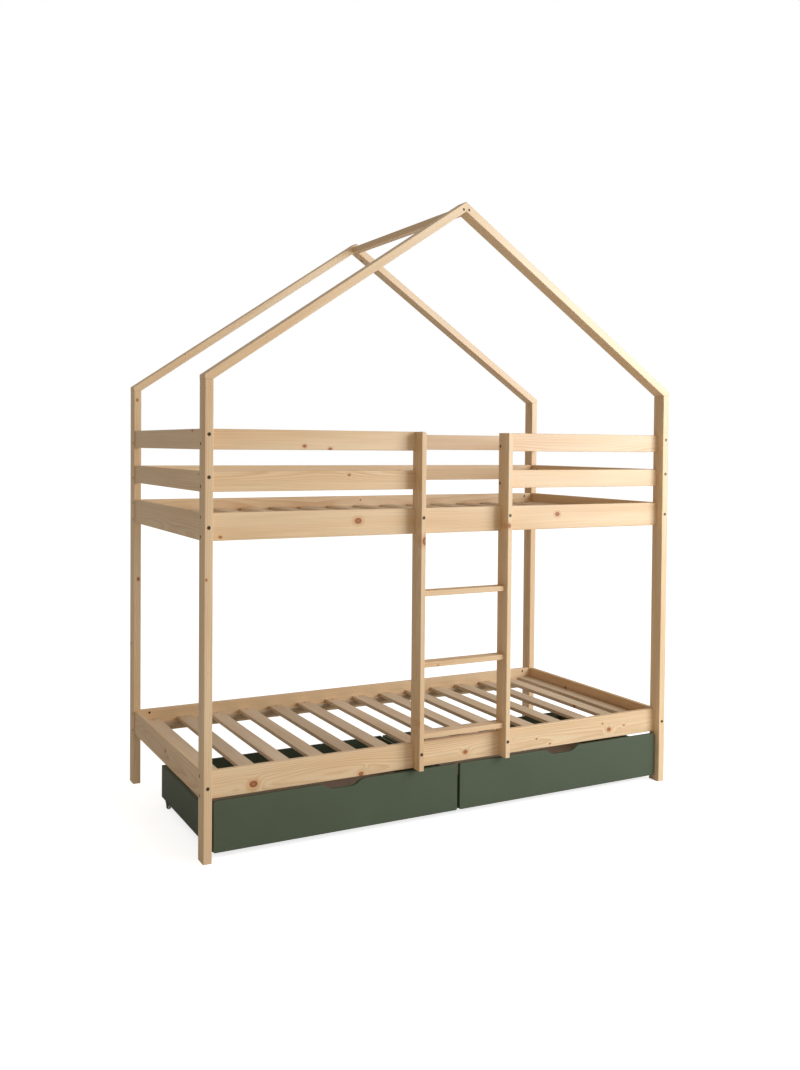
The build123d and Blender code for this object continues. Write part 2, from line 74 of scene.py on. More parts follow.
# each bare piece comes from its own place in the log, within this spread
BARE_WOOD_PITH = (0.0, 30.0, 52.0)
BARE_WOOD_SPREAD = (8000.0, 90.0, 60.0)
RANDOM_KNOT_CELL = (330.0, 70.0, 70.0)
LARGEST_RANDOM_KNOT = 6.5
KNOT_SWELLING = 10.0

# A seen knot is this much longer along the grain, and thins out as it runs into its board
KNOT_STRETCH = 1.3
KNOT_DEPTH = 35 * MM
# a distance from a knot, in the knot's radii, at which it no longer tells
NO_KNOT = 9.0

# How much warmer a board's colour is made, from 0 to 1, and how strong its year rings are. Most boards
# differ a little in tone at random; the lower right end rail is made warmest, as painted warm shade for the
# shade its inner face is in
RAIL_PAINTED_WARM_SHADE = 0.25
OLDEST_OTHER_BOARD = 0.1
ROOF_CONTRAST = 0.2
BOARD_SEED = 11

# A shank starts half a head's height inside its head
SHANK_START = 0.5
SLAT_SCREW_STAND = 0.3 * MM
SLAT_SCREW_INSET = 12 * MM
SLAT_SCREW_LENGTH = 30 * MM
# Barrel nuts are 14 mm long and sleeve nuts 16.5 mm
LONGEST_BARREL = 15 * MM
ROUND_SIDES = 32
SHANK_SIDES = 20
HOLE_SIDES = 24
SHARP_EDGE = radians(30)

FLOOR_HALF_WIDTH = 40.0
# light added to what the camera sees of the floor, so that it looks white
FLOOR_LIFT = 0.75
BRIGHTNESS_LEFT = 0.33
BRIGHTNESS_RIGHT = 0.6
WHITE = (1.0, 1.0, 1.0, 1.0)

# Where the sockets of a Mix node stand, because several of them share the names A, B and Result
COLOUR_A = 6
COLOUR_B = 7
COLOUR_OUT = 2
NUMBER_A = 2
NUMBER_B = 3


def linear(hex_colour):
    """An sRGB hex colour as a linear RGBA tuple."""
    channels = [int(hex_colour[i:i + 2], 16) / 255 for i in (1, 3, 5)]
    return tuple(c / 12.92 if c <= 0.04045 else ((c + 0.055) / 1.055) ** 2.4 for c in channels) + (1.0,)


def add(tree, kind, sockets=None, **settings):
    """A node with its settings, whose sockets are each given a value or linked."""
    node = tree.nodes.new(kind)
    for name, value in settings.items():
        setattr(node, name, value)
    for socket, value in (sockets or {}).items():
        if isinstance(value, bpy.types.NodeSocket):
            tree.links.new(value, node.inputs[socket])
        else:
            node.inputs[socket].default_value = value
    return node


def new_tree(name, kind, inputs, outputs):
    """An empty node group with named inputs and outputs, and its two end nodes."""
    tree = bpy.data.node_groups.new(name, kind)
    for socket, socket_kind in inputs.items():
        tree.interface.new_socket(socket, in_out="INPUT", socket_type=socket_kind)
    for socket, socket_kind in outputs.items():
        tree.interface.new_socket(socket, in_out="OUTPUT", socket_type=socket_kind)
    return tree, tree.nodes.new("NodeGroupInput").outputs, tree.nodes.new("NodeGroupOutput")


def knot_distance_group():
    """How far a point is from one knot, in the knot's own radii."""
    tree, given, result = new_tree(
        "distance to a knot", "ShaderNodeTree",
        {"Vector": "NodeSocketVector", "Centre": "NodeSocketVector", "Radii": "NodeSocketVector"},
        {"Distance": "NodeSocketFloat"})
    away = add(tree, "ShaderNodeVectorMath", {0: given["Vector"], 1: given["Centre"]},
               operation="SUBTRACT")
    scaled = add(tree, "ShaderNodeVectorMath", {0: away.outputs[0], 1: given["Radii"]},
                 operation="DIVIDE")
    length = add(tree, "ShaderNodeVectorMath", {0: scaled.outputs[0]}, operation="LENGTH")
    tree.links.new(length.outputs["Value"], result.inputs["Distance"])
    return tree


def nearest_knot(tree, place, seen):
    """The distance to the nearest knot, a seen or a random one, in that knot's own radii."""
    # small knots come at random in about half the cells, up to 6.5 mm in radius
    in_cells = add(tree, "ShaderNodeVectorMath", {0: place, 1: RANDOM_KNOT_CELL}, operation="DIVIDE")
    nearest = add(tree, "ShaderNodeTexVoronoi", {"Vector": in_cells.outputs[0], "Scale": 1.0})
    centre = add(tree, "ShaderNodeVectorMath", {0: nearest.outputs["Position"], 1: RANDOM_KNOT_CELL},
                 operation="MULTIPLY")
    away = add(tree, "ShaderNodeVectorMath", {0: place, 1: centre.outputs[0]}, operation="SUBTRACT")
    # they are a third longer along the grain
    oval = add(tree, "ShaderNodeVectorMath", {0: away.outputs[0], 1: (0.75, 1.0, 1.0)},
               operation="MULTIPLY")
    reach = add(tree, "ShaderNodeVectorMath", {0: oval.outputs[0]}, operation="LENGTH")
    chance = add(tree, "ShaderNodeSeparateColor", {"Color": nearest.outputs["Color"]})
    radius = add(tree, "ShaderNodeMapRange", {
        "Value": chance.outputs["Red"], "From Min": 0.55, "From Max": 1.0,
        "To Min": 0.4, "To Max": LARGEST_RANDOM_KNOT})
    seeded = add(tree, "ShaderNodeMath", {0: reach.outputs["Value"], 1: radius.outputs[0]},
                 operation="DIVIDE")
    nearer = add(tree, "ShaderNodeMath", {0: seeded.outputs[0], 1: seen}, operation="MINIMUM")
    return nearer.outputs[0]


def distance_from_pith(tree, place, knot):
    """How far out in the log a point is, along rings that wander, ripple and swell round a knot."""
    # the pith wanders by a few centimetres over a metre, so flat faces show arches
    along = add(tree, "ShaderNodeVectorMath", {0: place, 1: (1 / PITH_WANDER_LENGTH, 0.0, 0.0)},
                operation="MULTIPLY")
    wander = add(tree, "ShaderNodeTexNoise", {"Vector": along.outputs[0], "Scale": 1.0, "Detail": 1.0})
    bent = add(tree, "ShaderNodeVectorMath", {
        0: wander.outputs["Color"], 1: (0.0, PITH_WANDER, PITH_WANDER), 2: place},
        operation="MULTIPLY_ADD")
    across = add(tree, "ShaderNodeVectorMath", {0: bent.outputs[0], 1: (0.0, 1.0, 1.0)},
                 operation="MULTIPLY")
    from_pith = add(tree, "ShaderNodeVectorMath", {0: across.outputs[0]}, operation="LENGTH")
    ripple_place = add(tree, "ShaderNodeVectorMath", {
        0: place, 1: (1 / RIPPLE_LENGTH, 1 / RIPPLE_WIDTH, 1 / RIPPLE_WIDTH)}, operation="MULTIPLY")
    ripple = add(tree, "ShaderNodeTexNoise", {
        "Vector": ripple_place.outputs[0], "Scale": 1.0, "Detail": 3.0})
    rippled = add(tree, "ShaderNodeMath", {
        0: ripple.outputs[0], 1: RIPPLE_DEPTH, 2: from_pith.outputs["Value"]}, operation="MULTIPLY_ADD")
    # the swelling falls off as a bell curve, to two fifths at two of the knot's radii
    squared = add(tree, "ShaderNodeMath", {0: knot, 1: 2.0}, operation="POWER")
    fading = add(tree, "ShaderNodeMath", {0: squared.outputs[0], 1: -0.22}, operation="MULTIPLY")
    swelling = add(tree, "ShaderNodeMath", {0: fading.outputs[0]}, operation="EXPONENT")
    swollen = add(tree, "ShaderNodeMath", {
        0: swelling.outputs[0], 1: KNOT_SWELLING, 2: rippled.outputs[0]}, operation="MULTIPLY_ADD")
    return swollen.outputs[0]


def latewood(tree, out):
    """Year rings: 0 in early wood, 1 in latewood, at a distance out from the pith."""
    # in good and bad years the rings are wider or narrower
    uneven = add(tree, "ShaderNodeTexNoise", {
        "W": out, "Scale": 1 / RING_UNEVENNESS_LENGTH, "Detail": 1.0}, noise_dimensions="1D")
    ring = add(tree, "ShaderNodeMath", {0: uneven.outputs[0], 1: RING_UNEVENNESS, 2: out},
               operation="MULTIPLY_ADD")
    years = add(tree, "ShaderNodeMath", {0: ring.outputs[0], 1: RING_SPACING}, operation="DIVIDE")
    season = add(tree, "ShaderNodeMath", {0: years.outputs[0]}, operation="FRACT").outputs[0]
    # latewood darkens slowly through the year and ends at once
    growing = add(tree, "ShaderNodeMapRange", {"Value": season, "From Min": 0.25, "From Max": 0.86},
                  interpolation_type="SMOOTHSTEP")
    ending = add(tree, "ShaderNodeMapRange", {
        "Value": season, "From Min": 0.9, "From Max": 1.0, "To Min": 1.0, "To Max": 0.0})
    late = add(tree, "ShaderNodeMath", {0: growing.outputs[0], 1: ending.outputs[0]},
               operation="MULTIPLY")
    return late.outputs[0]


def clear_wood(tree, patch, line, fibre):
    """The colour of wood without its knots."""
    # sapwood is pale cream, heartwood a little pinker; latewood lines are straw brown
    heart = add(tree, "ShaderNodeMapRange", {
        "Value": patch.outputs["Color"], "From Min": 0.35, "From Max": 0.7})
    ground = add(tree, "ShaderNodeMix", {
        0: heart.outputs[0], COLOUR_A: linear("#EACDA3"), COLOUR_B: linear("#DFBB8C")},
        data_type="RGBA")
    lined = add(tree, "ShaderNodeMix", {
        0: line, COLOUR_A: ground.outputs[COLOUR_OUT], COLOUR_B: linear("#C9955C")}, data_type="RGBA")
    # fibres are streaks along the board, lighter and darker by about a twentieth
    shade = add(tree, "ShaderNodeMapRange", {
        "Value": fibre.outputs[0], "From Min": 0.25, "From Max": 0.75, "To Min": 0.93, "To Max": 1.05})
    streaked = add(tree, "ShaderNodeHueSaturation", {
        "Value": shade.outputs[0], "Color": lined.outputs[COLOUR_OUT]})
    return streaked.outputs[0]


def knotty_wood(tree, wood, knot):
    """Wood and its knots: a brown branch end with a dark rim and an orange glow of resin round it."""
    glow = add(tree, "ShaderNodeMapRange", {
        "Value": knot, "From Min": 1.0, "From Max": 2.6, "To Min": 0.62, "To Max": 0.0},
        interpolation_type="SMOOTHSTEP")
    glowing = add(tree, "ShaderNodeMix", {
        0: glow.outputs[0], COLOUR_A: wood, COLOUR_B: linear("#CF9352")}, data_type="RGBA")
    rim = add(tree, "ShaderNodeMapRange", {"Value": knot, "From Min": 0.3, "From Max": 0.95},
              interpolation_type="SMOOTHSTEP")
    branch = add(tree, "ShaderNodeMix", {
        0: rim.outputs[0], COLOUR_A: linear("#B0693A"), COLOUR_B: linear("#7E4424")}, data_type="RGBA")
    inside = add(tree, "ShaderNodeMapRange", {
        "Value": knot, "From Min": 0.85, "From Max": 1.15, "To Min": 1.0, "To Max": 0.0},
        interpolation_type="SMOOTHSTEP")
    knotted = add(tree, "ShaderNodeMix", {
        0: inside.outputs[0], COLOUR_A: glowing.outputs[COLOUR_OUT],
        COLOUR_B: branch.outputs[COLOUR_OUT]}, data_type="RGBA")
    return knotted.outputs[COLOUR_OUT]


def pine_grain_group():
    """Planed Scots pine cut from a log whose pith is the X axis of Place, in millimetres."""
    tree, given, result = new_tree(
        "planed pine grain", "ShaderNodeTree",
        {"Place": "NodeSocketVector", "Knot": "NodeSocketFloat", "Age": "NodeSocketFloat",
         "Contrast": "NodeSocketFloat"},
        {"Color": "NodeSocketColor", "Roughness": "NodeSocketFloat", "Height": "NodeSocketFloat"})
    place = given["Place"]
    knot = nearest_knot(tree, place, given["Knot"])
    late = latewood(tree, distance_from_pith(tree, place, knot))

    # there are long patches in which the lines are fainter or stronger
    patch_place = add(tree, "ShaderNodeVectorMath", {
        0: place, 1: (1 / PATCH_LENGTH, 1 / PATCH_WIDTH, 1 / PATCH_WIDTH)}, operation="MULTIPLY")
    patch = add(tree, "ShaderNodeTexNoise", {
        "Vector": patch_place.outputs[0], "Scale": 1.0, "Detail": 2.0})
    strength = add(tree, "ShaderNodeMapRange", {
        "Value": patch.outputs[0], "From Min": 0.35, "From Max": 0.65, "To Min": 0.14, "To Max": 0.5})
    marked = add(tree, "ShaderNodeMath", {0: late, 1: strength.outputs[0]}, operation="MULTIPLY")
    line = add(tree, "ShaderNodeMath", {0: marked.outputs[0], 1: given["Contrast"]},
               operation="MULTIPLY").outputs[0]
    fibre_place = add(tree, "ShaderNodeVectorMath", {
        0: place, 1: (1 / FIBRE_LENGTH, 1 / FIBRE_WIDTH, 1 / FIBRE_WIDTH)}, operation="MULTIPLY")
    fibre = add(tree, "ShaderNodeTexNoise", {
        "Vector": fibre_place.outputs[0], "Scale": 1.0, "Detail": 3.0})

    # boards of one bed differ a little in depth of colour, and one is painted a deeper orange brown, as
    # painted warm shade
    wood = knotty_wood(tree, clear_wood(tree, patch, line, fibre), knot)
    # this mix toward orange brown carries both the boards' own tone and one rail's painted warm shade
    warmer = add(tree, "ShaderNodeMix", {
        0: given["Age"], COLOUR_A: wood, COLOUR_B: linear("#C08A50")},
        data_type="RGBA", blend_type="MULTIPLY")
    tree.links.new(warmer.outputs[COLOUR_OUT], result.inputs["Color"])

    # some streaks of fibre are smoother than others
    sheen = add(tree, "ShaderNodeMapRange", {
        "Value": fibre.outputs[0], "From Min": 0.2, "From Max": 0.8, "To Min": 0.36, "To Max": 0.5})
    tree.links.new(sheen.outputs[0], result.inputs["Roughness"])
    raised = add(tree, "ShaderNodeMath", {0: line, 1: 0.6, 2: fibre.outputs[0]}, operation="MULTIPLY_ADD")
    tree.links.new(raised.outputs[0], result.inputs["Height"])
    return tree


def new_material(name):
    """A material with an empty surface: its tree and its shader."""
    material = bpy.data.materials.new(name)
    material.use_nodes = True
    tree = material.node_tree
    tree.nodes.clear()
    output = tree.nodes.new("ShaderNodeOutputMaterial")
    shader = tree.nodes.new("ShaderNodeBsdfPrincipled")
    tree.links.new(shader.outputs[0], output.inputs["Surface"])
    return material, tree, shader


def board_turn(node):
    """The rotation that brings a board's long axis to X, from its name and its box."""
    if node.startswith("rafter"):
        slope = ROOF_PITCH if node.endswith("left") else -ROOF_PITCH
        return Matrix.Rotation(slope, 3, "Y").to_euler()
    low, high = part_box(node)
    size = high - low
    if node.startswith(("slats", "end_", "ridge")):
        return Matrix.Rotation(-pi / 2, 3, "Z").to_euler()
    if size.z > size.x and node != "ladder_rungs":
        return Matrix.Rotation(pi / 2, 3, "Y").to_euler()
    return Matrix.Identity(3).to_euler()


def board_place(tree, turn, middle, pith):
    """Object coordinates as millimetres along and round the pith of the board's log."""
    coordinates = add(tree, "ShaderNodeTexCoord").outputs["Object"]
    shift = Vector(pith) - turn.to_matrix() @ (Vector(middle) / MM)
    mapping = add(tree, "ShaderNodeMapping", {
        "Vector": coordinates, "Scale": (1 / MM,) * 3, "Rotation": turn, "Location": shift})
    return coordinates, mapping.outputs[0]


# Knots that show on the real boards, with their radius in millimetres. On a board that faces
# the front the place is along X and Z; on a board across an end it is along Y and Z. Those of the
# lower right end rail are placed one by one.
SEEN_KNOTS = {
    "side_rail_lower_front": [
        (-815, 237, 11), (-403, 215, 7), (40, 238, 7), (371, 247, 3),
        (437, 220, 3), (701, 270, 3), (735, 242, 7), (814, 251, 3)],
    "side_rail_upper_front": [(-938, 1094, 4), (-422, 1136, 10), (460, 1140, 8)],
    "guard_front_left_top": [(-534, 1394, 5)],
    "guard_front_left_low": [(-459, 1302, 4)],
    "ladder_stile_left": [(-172, 1058, 11), (-199, 381, 7), (-203, 777, 4)],
    "ladder_stile_right": [(198, 1104, 6)],
    "post_front_left": [(-997, 956, 3)],
    "post_rear_left": [(-985, 849, 5), (-991, 1586, 4)],
    "end_guard_top_left": [(-340, 1456, 6)],
    "end_rail_lower_left": [(-12, 258, 6)],
    "end_rail_lower_right": [(-210, 246, 6), (160, 262, 5)],
    "rafter_front_left": [(-508, 2083, 4), (-865, 1839, 4)],
}


def lacquered_pine(node, grain, knot_distance, random):
    """Planed pine under clear satin lacquer: low-contrast lines along the board, a soft sheen."""
    material, tree, shader = new_material("lacquered_pine_" + node)
    low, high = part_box(node)
    angle = random.uniform(0, 2 * pi)
    reach = random.uniform(PITH_NEAR, PITH_FAR)
    along_log = random.uniform(-LOG_HALF_LENGTH, LOG_HALF_LENGTH)
    pith = (along_log, reach * cos(angle), reach * sin(angle))
    coordinates, place = board_place(tree, board_turn(node), (low + high) / 2, pith)
    knot = NO_KNOT
    for along, z, radius in SEEN_KNOTS.get(node, []):
        short = radius * MM
        long = KNOT_STRETCH * short
        centre = (along * MM, low.y, z * MM)
        radii = (long, KNOT_DEPTH, short)
        if node.startswith(("ladder_stile", "post")):
            radii = (short, KNOT_DEPTH, long)
        elif node.startswith("end_"):
            centre = (low.x, along * MM, z * MM)
            radii = (KNOT_DEPTH, long, short)
        found = add(tree, "ShaderNodeGroup", {
            "Vector": coordinates, "Centre": centre, "Radii": radii}, node_tree=knot_distance)
        nearer = add(tree, "ShaderNodeMath", {0: found.outputs[0], 1: knot}, operation="MINIMUM")
        knot = nearer.outputs[0]
    # the lower right end rail's deeper orange brown is painted warm shade, standing for the shade on its
    # inner face
    warmer = node == "end_rail_lower_right"
    warmth = RAIL_PAINTED_WARM_SHADE if warmer else random.uniform(0.0, OLDEST_OTHER_BOARD)
    # fine lines on the roof's slanting boards break into specks in the render, so they are fainter
    contrast = ROOF_CONTRAST if node.startswith(("rafter", "ridge")) else 1.0
    wood = add(tree, "ShaderNodeGroup", {
        "Place": place, "Knot": knot, "Age": warmth, "Contrast": contrast}, node_tree=grain)
    tree.links.new(wood.outputs["Color"], shader.inputs["Base Color"])
    tree.links.new(wood.outputs["Roughness"], shader.inputs["Roughness"])
    bump = add(tree, "ShaderNodeBump", {
        "Strength": 0.35, "Distance": 0.15 * MM, "Height": wood.outputs["Height"]})
    tree.links.new(bump.outputs[0], shader.inputs["Normal"])
    shader.inputs["Coat Weight"].default_value = 0.12
    shader.inputs["Coat Roughness"].default_value = 0.35
    return material


def bare_pine(node, grain, axis, first, pitch):
    """Bare planed pine, duller than the lacquered boards and greyer: partly the bare wood's own colour,
    partly painted shade for the grey look of the slats' top faces.

    Each piece of a group has a figure of its own: they are counted along an axis, in steps of a
    pitch from a first place.
    """
    material, tree, shader = new_material("bare_pine_" + node)
    low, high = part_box(node)
    coordinates, place = board_place(tree, board_turn(node), (low + high) / 2, BARE_WOOD_PITH)
    separate = add(tree, "ShaderNodeSeparateXYZ", {0: coordinates})
    from_first = add(tree, "ShaderNodeMath", {0: separate.outputs[axis], 1: first}, operation="SUBTRACT")
    pitches = add(tree, "ShaderNodeMath", {0: from_first.outputs[0], 1: pitch}, operation="DIVIDE")
    number = add(tree, "ShaderNodeMath", {0: pitches.outputs[0]}, operation="FLOOR")
    chance = add(tree, "ShaderNodeTexWhiteNoise", {"W": number.outputs[0]}, noise_dimensions="1D")
    moved = add(tree, "ShaderNodeVectorMath", {
        0: chance.outputs["Color"], 1: BARE_WOOD_SPREAD, 2: place}, operation="MULTIPLY_ADD")
    wood = add(tree, "ShaderNodeGroup", {
        "Place": moved.outputs[0], "Knot": NO_KNOT, "Age": 0.0, "Contrast": 1.0}, node_tree=grain)
    # each piece has a tone of its own, and all are darkened and greyed: partly the bare wood's own colour,
    # partly painted shade for the grey look of the slats' top faces
    tone = add(tree, "ShaderNodeMapRange", {
        "Value": chance.outputs["Value"], "To Min": 0.84, "To Max": 0.98})
    dull = add(tree, "ShaderNodeHueSaturation", {
        "Saturation": 0.82, "Value": tone.outputs[0], "Color": wood.outputs["Color"]})
    tree.links.new(dull.outputs[0], shader.inputs["Base Color"])
    shader.inputs["Roughness"].default_value = 0.62
    bump = add(tree, "ShaderNodeBump", {
        "Strength": 0.5, "Distance": 0.2 * MM, "Height": wood.outputs["Height"]})
    tree.links.new(bump.outputs[0], shader.inputs["Normal"])
    return material


def painted_fibreboard():
    """Fibreboard rolled with satin dark green paint: a faint orange peel, a soft broad sheen."""
    material, tree, shader = new_material("painted_fibreboard")
    place = add(tree, "ShaderNodeTexCoord").outputs["Object"]
    cloud = add(tree, "ShaderNodeTexNoise", {"Vector": place, "Scale": 6.0, "Detail": 3.0})
    colour = add(tree, "ShaderNodeMix", {
        0: cloud.outputs[0], COLOUR_A: linear("#4B5440"), COLOUR_B: linear("#525C47")}, data_type="RGBA")
    tree.links.new(colour.outputs[COLOUR_OUT], shader.inputs["Base Color"])
    shader.inputs["Specular IOR Level"].default_value = 0.3
    # orange peel of the roller: dimples 3 mm across
    peel = add(tree, "ShaderNodeTexNoise", {"Vector": place, "Scale": 330.0, "Detail": 2.0})
    sheen = add(tree, "ShaderNodeMapRange", {
        "Value": cloud.outputs[0], "From Min": 0.3, "From Max": 0.7, "To Min": 0.46, "To Max": 0.54})
    tree.links.new(sheen.outputs[0], shader.inputs["Roughness"])
    bump = add(tree, "ShaderNodeBump", {
        "Strength": 0.4, "Distance": 0.12 * MM, "Height": peel.outputs[0]})
    tree.links.new(bump.outputs[0], shader.inputs["Normal"])
    return material


def bare_hardboard():
    """Bare hardboard: pressed brown fibre, smooth and dull, with pale and dark flecks."""
    material, tree, shader = new_material("bare_hardboard")
    place = add(tree, "ShaderNodeTexCoord").outputs["Object"]
    # flecks of fibre 4 mm long, drawn coarser than the real half millimetre so that they show
    fleck = add(tree, "ShaderNodeTexNoise", {"Vector": place, "Scale": 260.0, "Detail": 4.0})
    colour = add(tree, "ShaderNodeMix", {
        0: fleck.outputs[0], COLOUR_A: linear("#8E7867"), COLOUR_B: linear("#BCA794")}, data_type="RGBA")
    tree.links.new(colour.outputs[COLOUR_OUT], shader.inputs["Base Color"])
    shader.inputs["Roughness"].default_value = 0.7
    bump = add(tree, "ShaderNodeBump", {
        "Strength": 0.3, "Distance": 0.1 * MM, "Height": fleck.outputs[0]})
    tree.links.new(bump.outputs[0], shader.inputs["Normal"])
    return material


def zinc_plated_steel_in_painted_shade():
    """Zinc-plated turned steel, uneven in gloss; its dull dark brown is painted shade, that of the
    counterbores in which the bolt heads sit.
    """
    material, tree, shader = new_material("zinc_plated_steel_in_painted_shade")
    place = add(tree, "ShaderNodeTexCoord").outputs["Object"]
    bloom = add(tree, "ShaderNodeTexNoise", {"Vector": place, "Scale": 240.0, "Detail": 3.0})
    # dark brown, as painted shade of the counterbores, mottled by the zinc's bloom
    colour = add(tree, "ShaderNodeMix", {
        0: bloom.outputs[0], COLOUR_A: linear("#4A4136"), COLOUR_B: linear("#6B6053")}, data_type="RGBA")
    tree.links.new(colour.outputs[COLOUR_OUT], shader.inputs["Base Color"])
    shader.inputs["Metallic"].default_value = 1.0
    gloss = add(tree, "ShaderNodeMapRange", {"Value": bloom.outputs[0], "To Min": 0.28, "To Max": 0.46})
    tree.links.new(gloss.outputs[0], shader.inputs["Roughness"])
    return material


def moulded_nylon():
    """White moulded nylon: a satin, faintly mottled plastic."""
    material, tree, shader = new_material("moulded_nylon")
    place = add(tree, "ShaderNodeTexCoord").outputs["Object"]
    mottle = add(tree, "ShaderNodeTexNoise", {"Vector": place, "Scale": 400.0, "Detail": 2.0})
    colour = add(tree, "ShaderNodeMix", {
        0: mottle.outputs[0], COLOUR_A: linear("#DEDCD6"), COLOUR_B: linear("#EEEDE9")},
        data_type="RGBA")
    tree.links.new(colour.outputs[COLOUR_OUT], shader.inputs["Base Color"])
    shader.inputs["Roughness"].default_value = 0.38
    shader.inputs["IOR"].default_value = 1.53
    return material


def studio_floor():
    """A pale matt studio floor; what the camera sees of it is lifted to white, its shadows stay."""
    material, tree, shader = new_material("studio_floor")
    shader.inputs["Base Color"].default_value = linear("#E9E9E8")
    shader.inputs["Roughness"].default_value = 0.9
    path = add(tree, "ShaderNodeLightPath")
    lift = add(tree, "ShaderNodeMath", {0: path.outputs["Is Camera Ray"], 1: FLOOR_LIFT},
               operation="MULTIPLY")
    shader.inputs["Emission Color"].default_value = WHITE
    tree.links.new(lift.outputs[0], shader.inputs["Emission Strength"])
    return material


def give(node, material):
    """Put one material on a CAD node."""
    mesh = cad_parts[node].data
    mesh.materials.clear()
    mesh.materials.append(material)


def finish_nodes():
    """Every CAD node gets the finish of its own real material; the fasteners' zinc is returned."""
    grain = pine_grain_group()
    knot_distance = knot_distance_group()
    random = Random(BOARD_SEED)
    paint = painted_fibreboard()
    hardboard = bare_hardboard()
    zinc = zinc_plated_steel_in_painted_shade()
    nylon = moulded_nylon()
    for node in sorted(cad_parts):
        if node.startswith("slats"):
            give(node, bare_pine(node, grain, "X", FIRST_SLAT - SLAT_PITCH / 2, SLAT_PITCH))
        elif node.startswith("ledgers"):
            # one ledger lies on each side of the middle
            give(node, bare_pine(node, grain, "Y", -1.0, 1.0))
        # castor housings and fasteners share the zinc whose dark brown is painted shade of the counterbores
        elif "castor" in node or node in ("connector_bolts", "connector_nuts", "roof_screws"):
            give(node, zinc)
        elif "wheel" in node:
            give(node, nylon)
        elif node.endswith("_bottom"):
            give(node, hardboard)
        elif node.startswith("drawer"):
            give(node, paint)
        else:
            give(node, lacquered_pine(node, grain, knot_distance, random))
    return zinc


def separate_solids(node):
    """The corner points of each separate solid of a CAD node, from a merged copy of its mesh."""
    copy = bmesh.new()
    copy.from_mesh(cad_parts[node].data)
    bmesh.ops.remove_doubles(copy, verts=copy.verts, dist=MERGE_DISTANCE)
    seen = set()
    solids = []
    for first in copy.verts:
        if first in seen:
            continue
        seen.add(first)
        solid = [first]
        for vert in solid:
            for edge in vert.link_edges:
                other = edge.other_vert(vert)
                if other not in seen:
                    seen.add(other)
                    solid.append(other)
        solids.append([vert.co.copy() for vert in solid])
    copy.free()
    return solids


def box_of(points):
    """The middle and the size of the box round some points."""
    low = Vector([min(p[i] for p in points) for i in range(3)])
    high = Vector([max(p[i] for p in points) for i in range(3)])
    return (low + high) / 2, high - low


def headed_place(points):
    """Where the outer face of a headed piece is, which way its shank runs, and its whole length."""
    middle, size = box_of(points)
    axis = max(range(3), key=lambda i: size[i])
    along = Vector([float(i == axis) for i in range(3)])
    widest = max(points, key=lambda p: ((p - middle) - along * (p - middle).dot(along)).length)
    outward = along if (widest - middle).dot(along) > 0 else -along
    return middle + outward * (size[axis] / 2), -outward, size[axis]


def barrel_place(points):
    """Where the slotted end of a barrel nut is, which way it runs in from there, and its length."""
    middle, size = box_of(points)
    axis = 0 if size.x > size.y else 1
    toward_middle = Vector([0.0, 0.0, 0.0])
    toward_middle[axis] = -1.0 if middle[axis] > 0 else 1.0
    return middle + toward_middle * (size[axis] / 2), -toward_middle, size[axis]


def socket_head(tree, given):
    """A round head on its outer face at the origin, chamfered there, with a hexagon socket."""
    straight = add(tree, "ShaderNodeMath", {0: given["Head Height"], 1: given["Chamfer"]},
                   operation="SUBTRACT").outputs[0]
    disc = add(tree, "GeometryNodeMeshCylinder", {
        "Vertices": ROUND_SIDES, "Radius": given["Head Radius"], "Depth": straight})
    rise = add(tree, "ShaderNodeMath", {0: straight, 1: 0.5, 2: given["Chamfer"]}, operation="MULTIPLY_ADD")
    lift = add(tree, "ShaderNodeCombineXYZ", {"Z": rise.outputs[0]})
    raised = add(tree, "GeometryNodeTransform", {
        "Geometry": disc.outputs["Mesh"], "Translation": lift.outputs[0]})
    # the face that looks down is drawn out and shrunk, which makes the chamfer
    normal = add(tree, "ShaderNodeSeparateXYZ", {0: add(tree, "GeometryNodeInputNormal").outputs[0]})
    outer = add(tree, "FunctionNodeCompare", {0: normal.outputs["Z"], 1: -0.5}, operation="LESS_THAN")
    lip = add(tree, "GeometryNodeExtrudeMesh", {
        "Mesh": raised.outputs[0], "Selection": outer.outputs[0], "Offset Scale": given["Chamfer"]})
    inner = add(tree, "ShaderNodeMath", {0: given["Head Radius"], 1: given["Chamfer"]},
                operation="SUBTRACT").outputs[0]
    shrink = add(tree, "ShaderNodeMath", {0: inner, 1: given["Head Radius"]}, operation="DIVIDE")
    head = add(tree, "GeometryNodeScaleElements", {
        "Geometry": lip.outputs["Mesh"], "Selection": lip.outputs["Top"], "Scale": shrink.outputs[0]})
    # half of the key stands in the head
    twice = add(tree, "ShaderNodeMath", {0: given["Socket Depth"], 1: 2.0}, operation="MULTIPLY")
    key = add(tree, "GeometryNodeMeshCylinder", {
        "Vertices": 6, "Radius": given["Socket Radius"], "Depth": twice.outputs[0]})
    cut = add(tree, "GeometryNodeMeshBoolean", {
        "Mesh 1": head.outputs[0], "Mesh 2": key.outputs["Mesh"]}, operation="DIFFERENCE", solver="EXACT")
    return cut.outputs["Mesh"]


